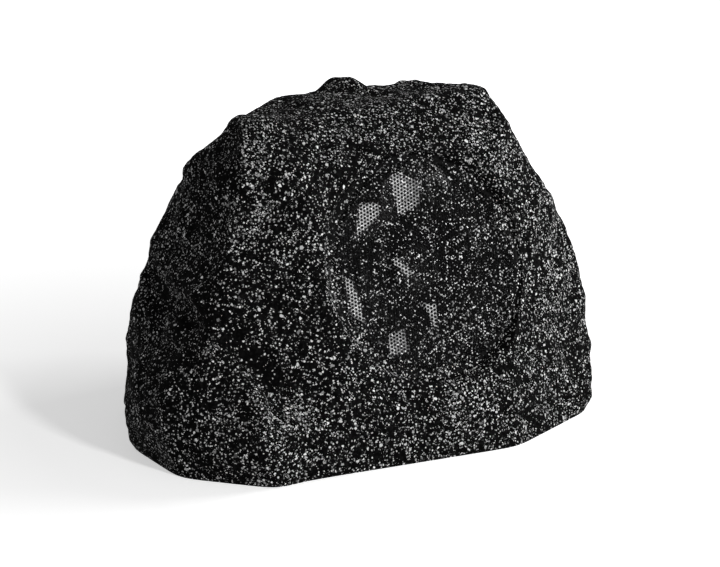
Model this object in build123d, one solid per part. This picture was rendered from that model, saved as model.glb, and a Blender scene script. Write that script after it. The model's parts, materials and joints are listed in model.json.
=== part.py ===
from build123d import *
import math
import os

# Rock shaped garden speaker: a hollow faceted rock with a coaxial driver behind a stamped grille.
# Lengths in millimetres, angles in degrees. +Z is up, the grille looks towards -Y, +X is to its right.
# The origin is on the ground, under the middle of the whole speaker.

# Rock body
WALL = 5.0
MAIN_CORE = (0.0, 30.0, 110.0)
FOOT_CORE = (-110.0, -20.0, 40.0)
# Each facet: bearing from the front (plus to the right), lean from upright, reach from the lump's core
MAIN_FACETS = {
    "front": (0, 21, 91),
    "front_left": (-26, 19, 112),
    "front_left_low": (-50, -12, 176),
    "left": (-90, 20, 140),
    "left_low": (-96, -14, 168),
    "back_left": (-140, 15, 130),
    "back": (180, 14, 119),
    "back_low": (180, 0, 136),
    "back_right": (125, 16, 129),
    "right_side": (92, 16, 176),
    "right": (70, 30, 173),
    "right_mid": (62, 9, 188),
    "right_low": (63, -12, 212),
    "front_right": (22, 16, 120),
    "front_low": (-8, 4, 121),
    "crown": (8, 87, 137),
    "crown_back_left": (-150, 41, 128),
    "crown_back_top": (-168, 60, 140),
    "crown_front": (0, 52, 119),
    "crown_back": (180, 48, 130),
}
FOOT_FACETS = {
    "top_left": (-95, 42, 69),
    "top_front_left": (-45, 42, 55),
    "top_front": (14, 46, 47),
    "left": (-97, 5, 78),
    "left_low": (-92, -18, 76),
    "front_left": (-50, 6, 63),
    "front_left_low": (-50, -14, 66),
    "front": (5, 6, 62),
    "right": (60, 35, 110),
    "back": (180, 10, 98),
    "back_left": (-140, 5, 91),
}

# Grille and the stepped recess that holds it
GRILLE_X = 25.0
GRILLE_Z = 137.0
GRILLE_SEAT = 11.0
GRILLE_RIM = 6.0
GRILLE_SHEET = 1.0
GRILLE_CLEARANCE = 1.0
GRILLE_HOLE = 8.0
GRILLE_PITCH = 14.0
GRILLE_HOLE_MARGIN = 10.0
RIM_SIDES = 36
# Stamped corners of the grille: angle from the right, distance in from the fold, height over the rim
GRILLE_EDGE = ((0, 5, 4), (30, 4, 4), (62, 5, 3), (92, 4, 3), (120, 5, 3), (148, 4, 7),
               (178, 4, 8), (208, 5, 8), (238, 4, 6), (268, 5, 6), (300, 4, 7), (332, 5, 6))
GRILLE_MID = ((8, 30, 4), (48, 32, 6), (84, 34, 9), (112, 36, 9), (142, 30, 8), (164, 26, 3),
              (200, 30, 3), (240, 34, 4), (276, 28, 3), (322, 30, 3))
GRILLE_INNER = ((20, 58, 6), (95, 56, 6), (160, 58, 3), (230, 60, 6), (300, 56, 4))
GRILLE_MIDDLE = (0, 76, 5)
SEAT_DEPTH = 8.0
RIM_BEVEL = 4.0

# Driver well and baffle
WELL_DEPTH = 12.0
WELL_CLEARANCE = 1.0
BAFFLE = 10.0

# Woofer
BASKET_RADIUS = 60.0
FLANGE_SEAT = 12.0
FLANGE = 4.0
GASKET = 1.5
LIP_STEP = 2.5
BASKET_WALL = 2.5
BASKET_FOOT_RADIUS = 41.0
BASKET_FLOOR = 3.0
BASKET_FLOOR_HOLE = 24.0
BASKET_DEPTH = 47.0
BASKET_WINDOWS = 6
WINDOW_WIDTH = 26.0
WINDOW_TOP = 6.0
WINDOW_HEIGHT = 20.0
CUTOUT_CLEARANCE = 2.0
SURROUND_LIP = 1.0
SURROUND_ROLL = 5.0
SURROUND_SKIN = 0.8
SURROUND_INNER_LIP = 3.5
GLUE = 0.3
CONE_SKIN = 0.8
CONE_SLANT_SKIN = 1.2
CONE_DEPTH = 20.0
CONE_NECK = 4.0
SPIDER_LEVEL = 32.0
SPIDER_LEDGE_RADIUS = 33.0
SPIDER_LEDGE = 2.0
SPIDER_RADIUS = 40.0
SPIDER_SKIN = 0.8
SPIDER_WAVE = 2.0
SPIDER_WAVES = 4
SPIDER_LIP = 1.5
FORMER_RADIUS = 13.0
FORMER_SKIN = 0.5
FORMER_LENGTH = 41.0
COIL_SKIN = 0.8
COIL_LENGTH = 12.0
COIL_GAP = 0.6
PLATE = 6.0
PLATE_RADIUS = 40.0
MAGNET_RADIUS = 45.0
MAGNET_BORE = 18.0
MAGNET = 16.0
POLE_RISE = 1.0
DRIVER_SCREWS = 6
DRIVER_SCREW_INSET = 5.5
TAG_TAB_WIDTH = 16.0
TAG_TAB = 2.0
TAG_GAP = 3.0
TAG_WIDTH = 14.0
TAG_LENGTH = 10.0
TAG = 1.6

# Tweeter on a stem through the woofer's pole
STEM_RADIUS = 4.0
STEM_BORE = 2.0
STEM_CLEARANCE = 0.05
TWEETER_RADIUS = 17.0
TWEETER_LEVEL = 8.0
TWEETER_HEIGHT = 12.0
TWEETER_WALL = 1.5
TWEETER_CLEARANCE = 0.2
TWEETER_MAGNET = 7.5
DOME_RADIUS = 9.0
DOME_RISE = 4.0
DOME_SKIN = 0.6
FACE = 1.5
FACE_MOUTH = 10.5

# Base closure
BASE_RECESS = 4.0
BASE_PLATE = 4.0
BASE_GASKET = 2.0
BASE_CLEARANCE = 0.6
LEDGE = 5.0
LEDGE_WIDTH = 16.0
BASE_BOSS_RADIUS = 5.5
BASE_BOSS = 10.0
# Places of the base screws: lump, facet, distance along the facet
BASE_SCREW_PLACES = (("main", "back_low", -45), ("main", "back_low", 60), ("main", "back_right", 10),
                     ("main", "right_low", 15), ("main", "front_low", 35), ("foot", "front", 15),
                     ("foot", "left_low", -15), ("main", "back_left", 0))

# Screws: shank radius, head radius, head height, length under the head
DRIVER_SCREW = (1.7, 3.5, 2.5, 14.5)
BASE_SCREW = (1.9, 4.0, 2.4, 17.0)
BOARD_SCREW = (1.25, 2.8, 2.0, 7.0)
PILOT_CLEARANCE = 0.05
HOLE_CLEARANCE = 0.5
SCREW_SLOT = 0.8
SCREW_EDGE = 0.5
SCREW_TIP_ROOM = 0.5

# Crossover board
BOARD_X = 0.0
BOARD_Y = 90.0
BOARD_WIDTH = 100.0
BOARD_DEPTH = 70.0
BOARD = 1.6
BOARD_HOLE_EDGE = 5.0
STANDOFF = 8.0
STANDOFF_RADIUS = 3.5
BLOCK_SIZE = (24.0, 10.0, 12.0)
BLOCK_PLACE = (-20.0, -28.0)
INDUCTOR_PLACE = (-28.0, 8.0)
INDUCTOR_RADIUS = 17.0
INDUCTOR_BORE = 8.0
INDUCTOR_HEIGHT = 15.0
CAPACITOR_PLACES = ((12.0, -8.0), (30.0, -8.0))
CAPACITOR_RADIUS = 6.5
CAPACITOR_HEIGHT = 24.0
CAPACITOR_EDGE = 1.0
RESISTOR_PLACE = (15.0, 20.0)
RESISTOR_SIZE = (40.0, 9.0, 9.0)

# Cable gland at the back: lump, facet and distance along the facet, then its height
GLAND_PLACE = ("main", "back_low", 0)
GLAND_Z = 30.0
GLAND_THREAD_RADIUS = 8.0
GLAND_BORE = 5.0
GLAND_TAIL = 16.0
GLAND_FLANGE = 4.0
GLAND_HEX = 11.0
GLAND_COLLAR = 8.0
GLAND_SEAL_RADIUS = 6.2
GLAND_CABLE_RADIUS = 3.6
GLAND_MOUTH = 4.6
GLAND_NUT = 9.0
GLAND_NUT_CAP = 2.0
GLAND_LOCKNUT = 5.0
THREAD_CLEARANCE = 0.1

# Leads inside the body
LEAD_RADIUS = 1.6
LEAD_BEND = 16.0
LEAD_END_GAP = 0.3
LEAD_RUN = 24.0

# Cutting bodies reach this far past what they cut
REACH = 400.0
PAST = 30.0


def facet_normal(bearing, lean):
    """Outward direction of a facet."""
    turn = math.radians(bearing)
    tilt = math.radians(lean)
    return Vector(math.sin(turn) * math.cos(tilt), -math.cos(turn) * math.cos(tilt), math.sin(tilt))


def lump(core, facets, inset, floor):
    """One stone lump, cut from a block by its facets, each moved in by the inset."""
    stone = Pos(*core) * Box(REACH * 2, REACH * 2, REACH * 2)
    for bearing, lean, reach in facets.values():
        normal = facet_normal(bearing, lean)
        facet = Plane(origin=Vector(*core) + normal * (reach - inset), z_dir=normal)
        stone = split(stone, bisect_by=facet, keep=Keep.BOTTOM)
    return split(stone, bisect_by=Plane.XY.offset(floor), keep=Keep.TOP)


def rock(inset, floor=0.0):
    """The two lumps together, shrunk by the inset and cut level at the floor."""
    return lump(MAIN_CORE, MAIN_FACETS, inset, floor) + lump(FOOT_CORE, FOOT_FACETS, inset, floor)


def facet_radius(core, facet, inset, level):
    """Distance from the core's upright line to a facet, at one level."""
    lean = math.radians(facet[1])
    return (facet[2] - inset - (level - core[2]) * math.sin(lean)) / math.cos(lean)


def facet_point(place, inset, level):
    """A point on an inset facet at one level, some way along it."""
    lump_name, facet_name, along = place
    core, facets = (MAIN_CORE, MAIN_FACETS) if lump_name == "main" else (FOOT_CORE, FOOT_FACETS)
    facet = facets[facet_name]
    radius = facet_radius(core, facet, inset, level)
    turn = math.radians(facet[0])
    x = core[0] + radius * math.sin(turn) + along * math.cos(turn)
    y = core[1] - radius * math.cos(turn) + along * math.sin(turn)
    return x, y


def level_slab(body, bottom, top):
    """The part of a body between two levels."""
    return split(split(body, bisect_by=Plane.XY.offset(bottom), keep=Keep.TOP),
                 bisect_by=Plane.XY.offset(top), keep=Keep.BOTTOM)


def prism(inset, levels, bottom, top):
    """An upright prism that passes through the rock's sections at all the given levels."""
    body = rock(inset, -PAST)
    shape = None
    for level in levels:
        outline = section(body, section_by=Plane.XY.offset(level))
        column = Pos(0, 0, bottom - level) * extrude(outline, top - bottom, dir=(0, 0, 1))
        shape = column if shape is None else shape & column
    return shape


def turned(*points):
    """A body of revolution about Z from a closed outline of (radius, height) points."""
    outline = make_face(Polyline(*points, close=True))
    return revolve(Plane.XZ * outline, Axis.Z)


def ring(outer, inner, bottom, top):
    """A plain ring or tube standing on Z."""
    return turned((inner, bottom), (outer, bottom), (outer, top), (inner, top))


def rod(radius, bottom, top):
    """A plain cylinder standing on Z."""
    return Pos(0, 0, bottom) * Cylinder(radius, top - bottom, align=(Align.CENTER, Align.CENTER, Align.MIN))


def on_circle(count, radius):
    """Even places round a circle."""
    turns = [math.radians(360 * i / count) for i in range(count)]
    return [(radius * math.cos(turn), radius * math.sin(turn)) for turn in turns]


def screw(size, seat):
    """A pan-head screw that points down Z, its head standing on the seat level."""
    shank, head, height, length = size
    body = rod(head, seat, seat + height) + rod(shank, seat - length, seat)
    slot = Pos(0, 0, seat + height) * Box(SCREW_SLOT, head * 2, height)
    return chamfer(body.faces().sort_by(Axis.Z)[-1].edges(), SCREW_EDGE) - slot


def at_places(body, places):
    """Copies of one body, as separate solids, at (x, y) places."""
    return Compound([solid for x, y in places for solid in (Pos(x, y, 0) * body).solids()])


def cut_at(body, cutter, places):
    """A body with one cutter taken out at each (x, y) place."""
    for x, y in places:
        body = body - Pos(x, y, 0) * cutter
    return body


# Driver frame: its Z runs out of the rock along the front facet's normal, from the well's floor

FRONT = MAIN_FACETS["front"]
FRONT_NORMAL = facet_normal(FRONT[0], FRONT[1])
GRILLE_Y = MAIN_CORE[1] - ((FRONT[2] - (GRILLE_Z - MAIN_CORE[2]) * FRONT_NORMAL.Z
                            - (GRILLE_X - MAIN_CORE[0]) * FRONT_NORMAL.X) / -FRONT_NORMAL.Y)
GRILLE_POINT = Vector(GRILLE_X, GRILLE_Y, GRILLE_Z)
DRIVER_ORIGIN = GRILLE_POINT - FRONT_NORMAL * (SEAT_DEPTH + WELL_DEPTH)
DRIVER_PLANE = Plane(origin=DRIVER_ORIGIN, x_dir=(1, 0, 0), z_dir=FRONT_NORMAL)
DRIVER = DRIVER_PLANE.location
CUTOUT_RADIUS = BASKET_RADIUS + CUTOUT_CLEARANCE
FLANGE_RADIUS = CUTOUT_RADIUS + FLANGE_SEAT
LIP_RADIUS = BASKET_RADIUS + LIP_STEP
WELL_RADIUS = FLANGE_RADIUS + WELL_CLEARANCE
GRILLE_RADIUS = WELL_RADIUS + GRILLE_SEAT
FOLD_RADIUS = GRILLE_RADIUS - GRILLE_RIM
SEAT_RADIUS = GRILLE_RADIUS + GRILLE_CLEARANCE
FACET_LEVEL = SEAT_DEPTH + WELL_DEPTH
FLANGE_TOP = GASKET + FLANGE

# Gland frame: its Z runs straight out of the upright wall low on the back

BACK_TURN, BACK_LEAN = MAIN_FACETS[GLAND_PLACE[1]][:2]
BACK_ALONG = (math.cos(math.radians(BACK_TURN)), math.sin(math.radians(BACK_TURN)), 0)
GLAND_POINT = (*facet_point(GLAND_PLACE, 0, GLAND_Z), GLAND_Z)
GLAND = Plane(origin=GLAND_POINT, x_dir=BACK_ALONG, z_dir=facet_normal(BACK_TURN, BACK_LEAN)).location

# Levels of the base closure

PLATE_TOP = BASE_RECESS + BASE_PLATE
LEDGE_BOTTOM = PLATE_TOP + BASE_GASKET
LEDGE_TOP = LEDGE_BOTTOM + LEDGE
SCREW_INSET = WALL + BASE_CLEARANCE + LEDGE_WIDTH / 2
BASE_SCREW_POINTS = [facet_point(place, SCREW_INSET, LEDGE_BOTTOM) for place in BASE_SCREW_PLACES]
DRIVER_SCREW_POINTS = on_circle(DRIVER_SCREWS, FLANGE_RADIUS - DRIVER_SCREW_INSET)


def ledge_opening():
    """The clear way up through the base ledge."""
    return prism(WALL + LEDGE_WIDTH, (LEDGE_BOTTOM, LEDGE_TOP), -PAST, PAST)


def rock_shell():
    """The moulded body: wall, baffle pocket and base ledge with its bosses."""
    stone = rock(0)
    hollow = rock(WALL, -PAST)
    shell = stone - hollow
    ledge = level_slab(hollow, LEDGE_BOTTOM, LEDGE_TOP) - ledge_opening()
    bosses = at_places(rod(BASE_BOSS_RADIUS, LEDGE_BOTTOM, LEDGE_TOP + BASE_BOSS), BASE_SCREW_POINTS)
    pocket = DRIVER * rod(SEAT_RADIUS + WALL, -BAFFLE, FACET_LEVEL + PAST)
    shell = shell + ledge + (stone & pocket)
    for boss in bosses.solids():
        shell = shell + (boss & stone)
    opening = turned((0, -BAFFLE - PAST), (CUTOUT_RADIUS, -BAFFLE - PAST), (CUTOUT_RADIUS, 0),
                     (WELL_RADIUS, 0), (WELL_RADIUS, WELL_DEPTH), (SEAT_RADIUS, WELL_DEPTH),
                     (SEAT_RADIUS, FACET_LEVEL - RIM_BEVEL),
                     (SEAT_RADIUS + RIM_BEVEL + PAST, FACET_LEVEL + PAST), (0, FACET_LEVEL + PAST))
    shell = shell - DRIVER * opening
    pilot_depth = FLANGE_TOP - DRIVER_SCREW[3] - SCREW_TIP_ROOM
    pilot = rod(DRIVER_SCREW[0] + PILOT_CLEARANCE, pilot_depth, 0)
    for x, y in DRIVER_SCREW_POINTS:
        shell = shell - DRIVER * Pos(x, y, 0) * pilot
    shell = shell - GLAND * rod(GLAND_THREAD_RADIUS + THREAD_CLEARANCE, -PAST, PAST)
    base_pilot_top = BASE_RECESS + BASE_SCREW[3] + SCREW_TIP_ROOM
    base_pilot = rod(BASE_SCREW[0] + PILOT_CLEARANCE, LEDGE_BOTTOM, base_pilot_top)
    return cut_at(shell, base_pilot, BASE_SCREW_POINTS)


def corner(spot):
    """A stamped corner of the grille as (x, y, height over the rim)."""
    turn = math.radians(spot[0])
    distance = FOLD_RADIUS - spot[1]
    return distance * math.cos(turn), distance * math.sin(turn), spot[2]


def bridge(outer, inner):
    """Triangles between two closed rings of (angle, distance, height) corners."""
    triangles = []
    i = 0
    j = 0
    while i < len(outer) or j < len(inner):
        next_outer = outer[(i + 1) % len(outer)][0] + 360 * ((i + 1) // len(outer))
        next_inner = inner[(j + 1) % len(inner)][0] + 360 * ((j + 1) // len(inner))
        here = corner(outer[i % len(outer)])
        there = corner(inner[j % len(inner)])
        if j == len(inner) or (i < len(outer) and next_outer <= next_inner):
            triangles.append((here, corner(outer[(i + 1) % len(outer)]), there))
            i += 1
        else:
            triangles.append((here, corner(inner[(j + 1) % len(inner)]), there))
            j += 1
    return triangles


def grille_triangles():
    """The stamped surface from its rim to its middle, heights over the rim."""
    step = 360 / RIM_SIDES
    rim = [(i * step, -GRILLE_RIM, 0) for i in range(RIM_SIDES)]
    fold = [(i * step, 0, 0) for i in range(RIM_SIDES)]
    triangles = bridge(rim, fold) + bridge(fold, GRILLE_EDGE)
    triangles += bridge(GRILLE_EDGE, GRILLE_MID) + bridge(GRILLE_MID, GRILLE_INNER)
    middle = corner(GRILLE_MIDDLE)
    for spot, following in zip(GRILLE_INNER, GRILLE_INNER[1:] + GRILLE_INNER[:1]):
        triangles.append((corner(spot), corner(following), middle))
    return triangles, [corner(spot) for spot in rim]


def raised(point, height):
    """A point lifted along Z."""
    return point[0], point[1], point[2] + height


def polygon_face(points):
    """A flat face from its corners."""
    return Face(Wire.make_polygon([Vector(*point) for point in points], close=True))


def grille():
    """Stamped sheet with a coarse field of holes."""
    triangles, rim = grille_triangles()
    faces = [polygon_face([raised(point, GRILLE_SHEET) for point in triangle]) for triangle in triangles]
    faces += [polygon_face(triangle[::-1]) for triangle in triangles]
    for near, far in zip(rim, rim[1:] + rim[:1]):
        faces.append(polygon_face((near, far, raised(far, GRILLE_SHEET), raised(near, GRILLE_SHEET))))
    sheet = Solid(Shell(faces))
    hole = Pos(0, 0, -PAST) * extrude(RegularPolygon(GRILLE_HOLE / 2, 6), PAST * 2)
    rings = int((FOLD_RADIUS - GRILLE_HOLE_MARGIN) / GRILLE_PITCH)
    span = range(-rings, rings + 1)
    spots = [(q + r / 2, r * math.sqrt(3) / 2) for q in span for r in span if abs(q + r) <= rings]
    holes = [Pos(x * GRILLE_PITCH, y * GRILLE_PITCH, 0) * hole for x, y in spots]
    return DRIVER * Pos(0, 0, WELL_DEPTH) * (Part() + sheet - holes)


# Woofer, in the driver frame

BASKET_BOTTOM = -BASKET_DEPTH
BASKET_FLOOR_TOP = BASKET_BOTTOM + BASKET_FLOOR
LIP_LEVEL = FLANGE_TOP - SURROUND_LIP
FLANGE_BORE = BASKET_RADIUS - BASKET_WALL
ROLL_MIDDLE = FLANGE_BORE - SURROUND_ROLL
CONE_EDGE = ROLL_MIDDLE - SURROUND_ROLL
CONE_LEVEL = LIP_LEVEL - GLUE
COIL_RADIUS = FORMER_RADIUS + COIL_SKIN
FRONT_PLATE_BOTTOM = BASKET_BOTTOM - PLATE
BACK_PLATE_TOP = FRONT_PLATE_BOTTOM - MAGNET
BACK_PLATE_BOTTOM = BACK_PLATE_TOP - PLATE
TAG_TAB_REACH = BASKET_FOOT_RADIUS + TAG_GAP + TAG_LENGTH
POLE_RADIUS = FORMER_RADIUS - FORMER_SKIN - COIL_GAP
POLE_TOP = BASKET_BOTTOM + POLE_RISE
NECK_BOTTOM = CONE_LEVEL - CONE_DEPTH - CONE_NECK
FORMER_TOP = NECK_BOTTOM + CONE_NECK
COIL_MIDDLE = BASKET_BOTTOM - PLATE / 2


def driver_gasket():
    """Foam ring between the woofer's flange and the baffle."""
    hole = rod(DRIVER_SCREW[0] + HOLE_CLEARANCE, -PAST, PAST)
    return cut_at(ring(FLANGE_RADIUS, CUTOUT_RADIUS, 0, GASKET), hole, DRIVER_SCREW_POINTS)


def woofer_basket():
    """Pressed frame with its flange, windows, spider ledge, floor and tag tab."""
    slope = (BASKET_RADIUS - BASKET_FOOT_RADIUS) / (GASKET - BASKET_FLOOR_TOP)
    ledge_wall = BASKET_RADIUS - slope * (GASKET + SPIDER_LEVEL)
    basket = turned((FLANGE_RADIUS, GASKET), (FLANGE_RADIUS, FLANGE_TOP), (LIP_RADIUS, FLANGE_TOP),
                    (LIP_RADIUS, LIP_LEVEL), (FLANGE_BORE, LIP_LEVEL), (FLANGE_BORE, GASKET),
                    (BASKET_FOOT_RADIUS - BASKET_WALL, BASKET_FLOOR_TOP),
                    (BASKET_FLOOR_HOLE, BASKET_FLOOR_TOP), (BASKET_FLOOR_HOLE, BASKET_BOTTOM),
                    (BASKET_FOOT_RADIUS, BASKET_BOTTOM),
                    (BASKET_FOOT_RADIUS, BASKET_FLOOR_TOP), (BASKET_RADIUS, GASKET))
    window = Pos(BASKET_RADIUS, 0, -WINDOW_TOP - WINDOW_HEIGHT / 2) * Box(
        BASKET_RADIUS * 2, WINDOW_WIDTH, WINDOW_HEIGHT)
    for i in range(BASKET_WINDOWS):
        basket = basket - Rot(0, 0, 360 * i / BASKET_WINDOWS) * window
    basket = basket + ring(ledge_wall - BASKET_WALL / 2, SPIDER_LEDGE_RADIUS,
                           -SPIDER_LEVEL - SPIDER_LEDGE, -SPIDER_LEVEL)
    tab_length = TAG_TAB_REACH - BASKET_FOOT_RADIUS + BASKET_WALL
    tab = Pos(0, -TAG_TAB_REACH + tab_length / 2, BASKET_BOTTOM + TAG_TAB / 2) * Box(
        TAG_TAB_WIDTH, tab_length, TAG_TAB)
    hole = rod(DRIVER_SCREW[0] + HOLE_CLEARANCE, -PAST, PAST)
    return cut_at(basket + tab, hole, DRIVER_SCREW_POINTS)


def woofer_surround():
    """Rubber half-roll between the flange and the cone's edge."""
    middle = LIP_LEVEL + SURROUND_LIP / 2
    roll = Circle(SURROUND_ROLL + SURROUND_SKIN / 2) - Circle(SURROUND_ROLL - SURROUND_SKIN / 2)
    upper = Pos(0, SURROUND_ROLL) * Rectangle(SURROUND_ROLL * 4, SURROUND_ROLL * 2)
    half_roll = revolve(Plane.XZ * (Pos(ROLL_MIDDLE, middle) * (roll & upper)), Axis.Z)
    top = LIP_LEVEL + SURROUND_LIP
    overlap = SURROUND_SKIN / 2
    outer_lip = ring(LIP_RADIUS - GLUE, FLANGE_BORE - overlap, LIP_LEVEL, top)
    inner_lip = ring(CONE_EDGE + overlap, CONE_EDGE - SURROUND_INNER_LIP, LIP_LEVEL, top)
    return half_roll + outer_lip + inner_lip


def woofer_cone():
    """Thin cone with a flat edge under the surround and a neck on the coil former."""
    flat = CONE_EDGE - SURROUND_INNER_LIP
    neck = FORMER_RADIUS + CONE_SKIN
    top = CONE_LEVEL
    return turned((CONE_EDGE, top), (flat, top), (neck, FORMER_TOP), (FORMER_RADIUS, FORMER_TOP),
                  (FORMER_RADIUS, NECK_BOTTOM), (neck, NECK_BOTTOM), (neck, FORMER_TOP - CONE_SLANT_SKIN),
                  (flat, top - CONE_SLANT_SKIN), (CONE_EDGE, top - CONE_SKIN))


def woofer_spider():
    """Corrugated centring disc, its outer lip on the basket's ledge."""
    start = FORMER_RADIUS + GLUE
    first = start + SPIDER_LIP
    step = (SPIDER_LEDGE_RADIUS - first) / (SPIDER_WAVES * 2)
    wave = [(first + step * i, SPIDER_WAVE / 2 * (-1) ** i * (0 < i < SPIDER_WAVES * 2))
            for i in range(SPIDER_WAVES * 2 + 1)]
    lower = [(start, 0)] + wave + [(SPIDER_RADIUS, 0)]
    upper = [(radius, height + SPIDER_SKIN) for radius, height in reversed(lower)]
    return Pos(0, 0, -SPIDER_LEVEL) * turned(*lower, *upper)


def back_plate():
    """Steel back plate with the pole turned from one piece and bored for the tweeter's stem."""
    bore = STEM_RADIUS + STEM_CLEARANCE
    return turned((bore, BACK_PLATE_BOTTOM), (PLATE_RADIUS, BACK_PLATE_BOTTOM),
                  (PLATE_RADIUS, BACK_PLATE_TOP), (POLE_RADIUS, BACK_PLATE_TOP),
                  (POLE_RADIUS, POLE_TOP), (bore, POLE_TOP))


def terminal_strip():
    """Insulating strip for the woofer's tags, on the basket's tab."""
    strip = Box(TAG_WIDTH, TAG_LENGTH, TAG, align=(Align.CENTER, Align.MIN, Align.MIN))
    return Pos(0, -TAG_TAB_REACH, BASKET_BOTTOM + TAG_TAB) * strip


# Tweeter, in the driver frame

CUP_TOP = TWEETER_HEIGHT - TWEETER_LEVEL
CUP_FLOOR = TWEETER_WALL - TWEETER_LEVEL
CUP_BORE = TWEETER_RADIUS - TWEETER_WALL
DOME_SEAT = CUP_FLOOR + TWEETER_MAGNET
DOME_LIP = CUP_BORE - TWEETER_CLEARANCE


def tweeter_dome():
    """Soft dome with a flat lip."""
    sphere = (DOME_RADIUS ** 2 + DOME_RISE ** 2) / (2 * DOME_RISE)
    crown = DOME_SEAT + DOME_SKIN + DOME_RISE
    cap = Pos(0, crown - sphere) * (Circle(sphere) - Circle(sphere - DOME_SKIN))
    keep = Pos(DOME_RADIUS / 2, DOME_SEAT + DOME_RISE) * Rectangle(DOME_RADIUS, DOME_RISE * 2)
    return revolve(Plane.XZ * (cap & keep), Axis.Z) + ring(
        DOME_LIP, DOME_RADIUS - DOME_SKIN, DOME_SEAT, DOME_SEAT + DOME_SKIN)


def tweeter_face():
    """Front ring that clamps the dome's lip into the cup."""
    seat = DOME_SEAT + DOME_SKIN
    return turned((DOME_LIP, seat), (DOME_LIP, CUP_TOP), (TWEETER_RADIUS, CUP_TOP),
                  (TWEETER_RADIUS, CUP_TOP + FACE / 2), (TWEETER_RADIUS - FACE, CUP_TOP + FACE),
                  (FACE_MOUTH + FACE, CUP_TOP + FACE), (FACE_MOUTH, seat))


def driver_pieces():
    """Every piece of the driver, placed in the rock."""
    stem_top = -TWEETER_LEVEL
    pieces = {
        "driver_gasket": driver_gasket(),
        "woofer_basket": woofer_basket(),
        "woofer_surround": woofer_surround(),
        "woofer_cone": woofer_cone(),
        "woofer_spider": woofer_spider(),
        "coil_former": ring(FORMER_RADIUS, FORMER_RADIUS - FORMER_SKIN,
                            FORMER_TOP - FORMER_LENGTH, FORMER_TOP),
        "voice_coil": ring(COIL_RADIUS, FORMER_RADIUS, COIL_MIDDLE - COIL_LENGTH / 2,
                           COIL_MIDDLE + COIL_LENGTH / 2),
        "front_plate": ring(PLATE_RADIUS, COIL_RADIUS + COIL_GAP, FRONT_PLATE_BOTTOM, BASKET_BOTTOM),
        "woofer_magnet": ring(MAGNET_RADIUS, MAGNET_BORE, BACK_PLATE_TOP, FRONT_PLATE_BOTTOM),
        "back_plate": back_plate(),
        "terminal_strip": terminal_strip(),
        "tweeter_stem": ring(STEM_RADIUS, STEM_BORE, BACK_PLATE_BOTTOM, stem_top),
        "tweeter_cup": turned((STEM_BORE, stem_top), (TWEETER_RADIUS, stem_top), (TWEETER_RADIUS, CUP_TOP),
                              (CUP_BORE, CUP_TOP), (CUP_BORE, CUP_FLOOR), (STEM_BORE, CUP_FLOOR)),
        "tweeter_magnet": ring(DOME_LIP, STEM_BORE, CUP_FLOOR, DOME_SEAT),
        "tweeter_dome": tweeter_dome(),
        "tweeter_face": tweeter_face(),
        "driver_screws": at_places(screw(DRIVER_SCREW, FLANGE_TOP), DRIVER_SCREW_POINTS),
    }
    return {name: DRIVER * piece for name, piece in pieces.items()}


def base_plate():
    """Plate that closes the rock from below, with screw and standoff places."""
    plate = prism(WALL + BASE_CLEARANCE, (0, PLATE_TOP), BASE_RECESS, PLATE_TOP)
    return cut_at(plate, rod(BASE_SCREW[0] + HOLE_CLEARANCE, -PAST, PAST), BASE_SCREW_POINTS)


def base_gasket():
    """Flat seal between the base plate and the ledge."""
    seal = prism(WALL + BASE_CLEARANCE, (0, LEDGE_BOTTOM), PLATE_TOP, LEDGE_BOTTOM)
    seal = seal - ledge_opening()
    return cut_at(seal, rod(BASE_SCREW[0] + HOLE_CLEARANCE, -PAST, PAST), BASE_SCREW_POINTS)


# Crossover board, on standoffs over the base plate

BOARD_BOTTOM = PLATE_TOP + STANDOFF
BOARD_TOP = BOARD_BOTTOM + BOARD
HOLE_X = BOARD_WIDTH / 2 - BOARD_HOLE_EDGE
HOLE_Y = BOARD_DEPTH / 2 - BOARD_HOLE_EDGE
BOARD_HOLES = [(BOARD_X + x, BOARD_Y + y) for x in (-HOLE_X, HOLE_X) for y in (-HOLE_Y, HOLE_Y)]


def on_board(body, place):
    """A body that stands on the board, at a place measured from the board's middle."""
    return Pos(BOARD_X + place[0], BOARD_Y + place[1], BOARD_TOP) * body


def standing_box(size):
    """A box that stands on Z."""
    return Box(*size, align=(Align.CENTER, Align.CENTER, Align.MIN))


def crossover_pieces():
    """Board, standoffs, screws and the parts on the board."""
    hole = rod(BOARD_SCREW[0] + HOLE_CLEARANCE, -PAST, PAST * 2)
    board = Pos(BOARD_X, BOARD_Y, BOARD_BOTTOM) * standing_box((BOARD_WIDTH, BOARD_DEPTH, BOARD))
    standoff = ring(STANDOFF_RADIUS, BOARD_SCREW[0] + PILOT_CLEARANCE, PLATE_TOP, BOARD_BOTTOM)
    can = rod(CAPACITOR_RADIUS, 0, CAPACITOR_HEIGHT)
    can = chamfer(can.faces().sort_by(Axis.Z)[-1].edges(), CAPACITOR_EDGE)
    cans = [solid for place in CAPACITOR_PLACES for solid in on_board(can, place).solids()]
    return {
        "board_standoffs": at_places(standoff, BOARD_HOLES),
        "crossover_board": cut_at(board, hole, BOARD_HOLES),
        "board_screws": at_places(screw(BOARD_SCREW, BOARD_TOP), BOARD_HOLES),
        "terminal_block": on_board(standing_box(BLOCK_SIZE), BLOCK_PLACE),
        "inductor": on_board(ring(INDUCTOR_RADIUS, INDUCTOR_BORE, 0, INDUCTOR_HEIGHT), INDUCTOR_PLACE),
        "capacitors": Compound(cans),
        "resistor": on_board(standing_box(RESISTOR_SIZE), RESISTOR_PLACE),
    }


def hex_nut(radius, bore, bottom, top):
    """A hexagonal ring standing on Z."""
    body = Pos(0, 0, bottom) * extrude(RegularPolygon(radius, 6), top - bottom)
    return body - rod(bore, bottom - PAST, top + PAST)


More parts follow.
